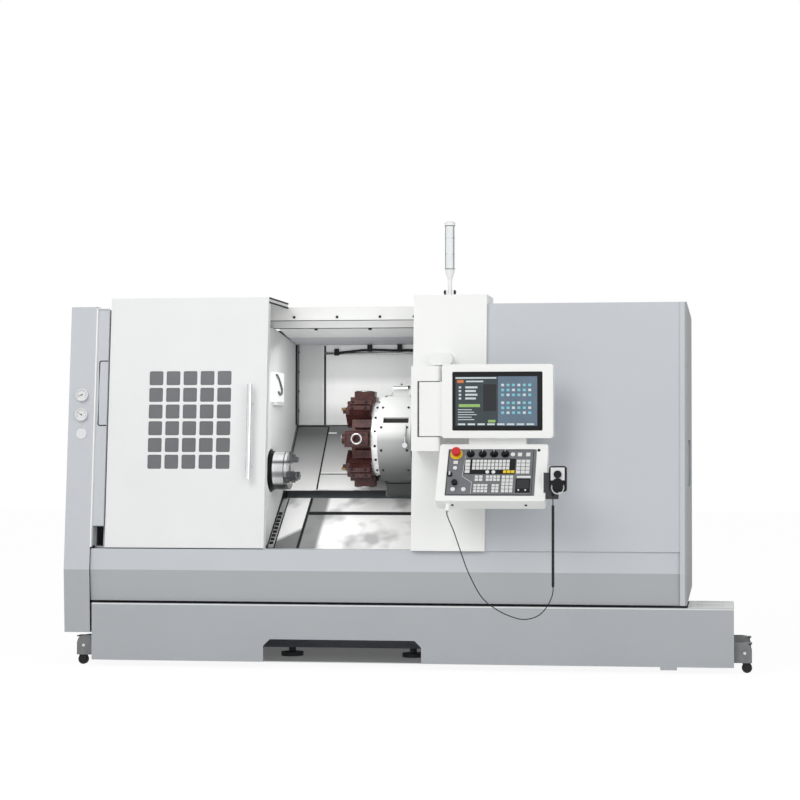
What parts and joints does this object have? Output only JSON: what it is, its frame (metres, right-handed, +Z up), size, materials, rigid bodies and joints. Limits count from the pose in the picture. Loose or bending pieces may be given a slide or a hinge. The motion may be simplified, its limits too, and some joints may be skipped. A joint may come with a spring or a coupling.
{
  "type": "cnc turning lathe",
  "caption": "Slant-bed CNC turning lathe in a sheet-metal enclosure with a sliding guard door, chuck, tool turret, tailstock, swinging control pendant and rolling coolant tank.",
  "frame": {"origin": "on the floor under the middle of the machine's box", "axes": "+X from the spindle to the tailstock, +Y to the back, +Z up"},
  "size_m": [4.127, 2.2762, 2.686],
  "materials": {
    "white_paint": "white powder coat, fine texture",
    "grey_paint": "grey powder coat, fine texture",
    "stainless": "brushed sheet",
    "polished_steel": "ground and polished",
    "cast_iron": "painted casting",
    "motor_paint": "satin",
    "tool_brown": "blued and oiled",
    "black_plastic": "satin",
    "key_grey": "satin",
    "red_plastic": "gloss",
    "clear_lens": "ribbed clear lens",
    "window_pane": "tinted pane with fine mesh",
    "rubber": "matt",
    "black_steel": "satin",
    "wheel_grey": "satin"
  },
  "bodies": {
    "machine": {"bed": "cast_iron", "levelling_feet": "cast_iron", "headstock": "cast_iron", "spindle_motor": "motor_paint", "drive_belt": "rubber", "left_end_cover": "grey_paint", "left_front_panel": "grey_paint", "pressure_gauges": "polished_steel", "lower_apron": "grey_paint", "chamber_left_wall": "white_paint", "chamber_back_wall": "stainless", "chip_chute": "stainless", "way_cover_fixed": "stainless", "roof_panels": "grey_paint", "door_rail": "white_paint", "control_column": "white_paint", "right_front_cover": "grey_paint", "right_end_cover": "grey_paint", "rear_cover": "grey_paint", "electrical_cabinet": "grey_paint", "signal_pole": "white_paint", "signal_lens": "clear_lens", "pendant_bracket": "white_paint"},
    "door": {"door_panel": "white_paint", "door_window": "window_pane", "door_handle": "polished_steel"},
    "spindle": {"spindle": "polished_steel", "chuck": "polished_steel"},
    "jaw_1": {"jaw_1": "polished_steel"},
    "jaw_2": {"jaw_2": "polished_steel"},
    "jaw_3": {"jaw_3": "polished_steel"},
    "motor_pulley": {"motor_pulley": "polished_steel"},
    "cover_mid": {"way_cover_mid": "stainless"},
    "carriage": {"saddle": "cast_iron", "way_cover_sliding": "stainless"},
    "cross_slide": {"turret_body": "white_paint"},
    "turret": {"turret_disc": "tool_brown", "tool_holders": "tool_brown"},
    "tailstock": {"tailstock_body": "cast_iron"},
    "quill": {"tailstock_quill": "polished_steel"},
    "pendant": {"pendant_arm": "white_paint", "monitor_housing": "white_paint", "monitor_screen": "black_plastic", "operation_panel": "white_paint", "key_panel": "key_grey", "mpg_box": "black_plastic", "mpg_coil": "rubber", "mpg_lead": "rubber"},
    "e_stop": {"e_stop": "red_plastic"},
    "knob_1": {"knob_1": "black_plastic"},
    "knob_2": {"knob_2": "black_plastic"},
    "knob_3": {"knob_3": "black_plastic"},
    "knob_4": {"knob_4": "black_plastic"},
    "mpg_wheel": {"mpg_wheel": "polished_steel"},
    "tank": {"coolant_tank": "grey_paint", "caster_brackets": "black_steel"},
    "caster_1": {"caster_1": "wheel_grey"},
    "caster_2": {"caster_2": "wheel_grey"},
    "caster_3": {"caster_3": "wheel_grey"},
    "caster_4": {"caster_4": "wheel_grey"}
  },
  "joints": [
    {"name": "door_slide", "type": "slide", "parent": "machine", "child": "door", "axis": [1, 0, 0], "range_m": [0, 0.88]},
    {"name": "spindle_turn", "type": "hinge", "parent": "machine", "child": "spindle", "pos_m": [0, -0.06185, 1.172], "axis": [1, 0, 0], "continuous": true},
    {"name": "jaw_1_slide", "type": "slide", "parent": "spindle", "child": "jaw_1", "axis": [0, 0, 1], "range_m": [0, 0.009]},
    {"name": "jaw_2_slide", "type": "slide", "parent": "spindle", "child": "jaw_2", "axis": [0, -0.866, -0.5], "range_m": [0, 0.009]},
    {"name": "jaw_3_slide", "type": "slide", "parent": "spindle", "child": "jaw_3", "axis": [0, 0.866, -0.5], "range_m": [0, 0.009]},
    {"name": "motor_pulley_turn", "type": "hinge", "parent": "machine", "child": "motor_pulley", "pos_m": [0, 0.62315, 1.02], "axis": [1, 0, 0], "continuous": true},
    {"name": "carriage_slide", "type": "slide", "parent": "machine", "child": "carriage", "axis": [1, 0, 0], "range_m": [-0.2, 0.5]},
    {"name": "cover_mid_slide", "type": "slide", "parent": "machine", "child": "cover_mid", "axis": [1, 0, 0], "range_m": [-0.1, 0.25]},
    {"name": "cross_slide_travel", "type": "slide", "parent": "carriage", "child": "cross_slide", "axis": [0, 0.7071, 0.7071], "range_m": [-0.03, 0.22]},
    {"name": "turret_index", "type": "hinge", "parent": "cross_slide", "child": "turret", "pos_m": [0, 0.13614, 1.36999], "axis": [1, 0, 0], "continuous": true},
    {"name": "tailstock_slide", "type": "slide", "parent": "machine", "child": "tailstock", "axis": [1, 0, 0], "range_m": [-0.1, 0.15]},
    {"name": "quill_slide", "type": "slide", "parent": "tailstock", "child": "quill", "axis": [-1, 0, 0], "range_m": [0, 0.12]},
    {"name": "pendant_swing", "type": "hinge", "parent": "machine", "child": "pendant", "pos_m": [0.2365, -0.85185, 1.55], "axis": [0, 0, 1], "range_deg": [-90, 0]},
    {"name": "e_stop_press", "type": "slide", "parent": "pendant", "child": "e_stop", "axis": [0, 0.8192, -0.5736], "range_m": [0, 0.004], "stiffness_N_per_m": 800},
    {"name": "knob_1_turn", "type": "hinge", "parent": "pendant", "child": "knob_1", "pos_m": [0.4455, -0.90929, 1.2787], "axis": [0, -0.8192, 0.5736], "range_deg": [-120, 120]},
    {"name": "knob_2_turn", "type": "hinge", "parent": "pendant", "child": "knob_2", "pos_m": [0.5155, -0.90929, 1.2787], "axis": [0, -0.8192, 0.5736], "range_deg": [-120, 120]},
    {"name": "knob_3_turn", "type": "hinge", "parent": "pendant", "child": "knob_3", "pos_m": [0.5825, -0.90929, 1.2787], "axis": [0, -0.8192, 0.5736], "range_deg": [-120, 120]},
    {"name": "knob_4_turn", "type": "hinge", "parent": "pendant", "child": "knob_4", "pos_m": [0.6475, -0.90929, 1.2787], "axis": [0, -0.8192, 0.5736], "range_deg": [-120, 120]},
    {"name": "mpg_wheel_turn", "type": "hinge", "parent": "pendant", "child": "mpg_wheel", "pos_m": [0.968, -1.12185, 1.11], "axis": [0, -1, 0], "continuous": true},
    {"name": "tank_roll", "type": "slide", "parent": "machine", "child": "tank", "axis": [1, 0, 0], "range_m": [0, 1.5]},
    {"name": "caster_1_turn", "type": "hinge", "parent": "tank", "child": "caster_1", "pos_m": [-1.9665, -0.60185, 0.0305], "axis": [0, 1, 0], "continuous": true},
    {"name": "caster_2_turn", "type": "hinge", "parent": "tank", "child": "caster_2", "pos_m": [-1.9665, -0.18185, 0.0305], "axis": [0, 1, 0], "continuous": true},
    {"name": "caster_3_turn", "type": "hinge", "parent": "tank", "child": "caster_3", "pos_m": [2.0335, -0.60185, 0.0305], "axis": [0, 1, 0], "continuous": true},
    {"name": "caster_4_turn", "type": "hinge", "parent": "tank", "child": "caster_4", "pos_m": [2.0335, -0.18185, 0.0305], "axis": [0, 1, 0], "continuous": true}
  ],
  "couplings": [
    {"joint": "motor_pulley_turn", "follows": "spindle_turn", "ratio": 1.5},
    {"joint": "jaw_2_slide", "follows": "jaw_1_slide", "ratio": 1},
    {"joint": "jaw_3_slide", "follows": "jaw_1_slide", "ratio": 1},
    {"joint": "cover_mid_slide", "follows": "carriage_slide", "ratio": 0.5}
  ]
}
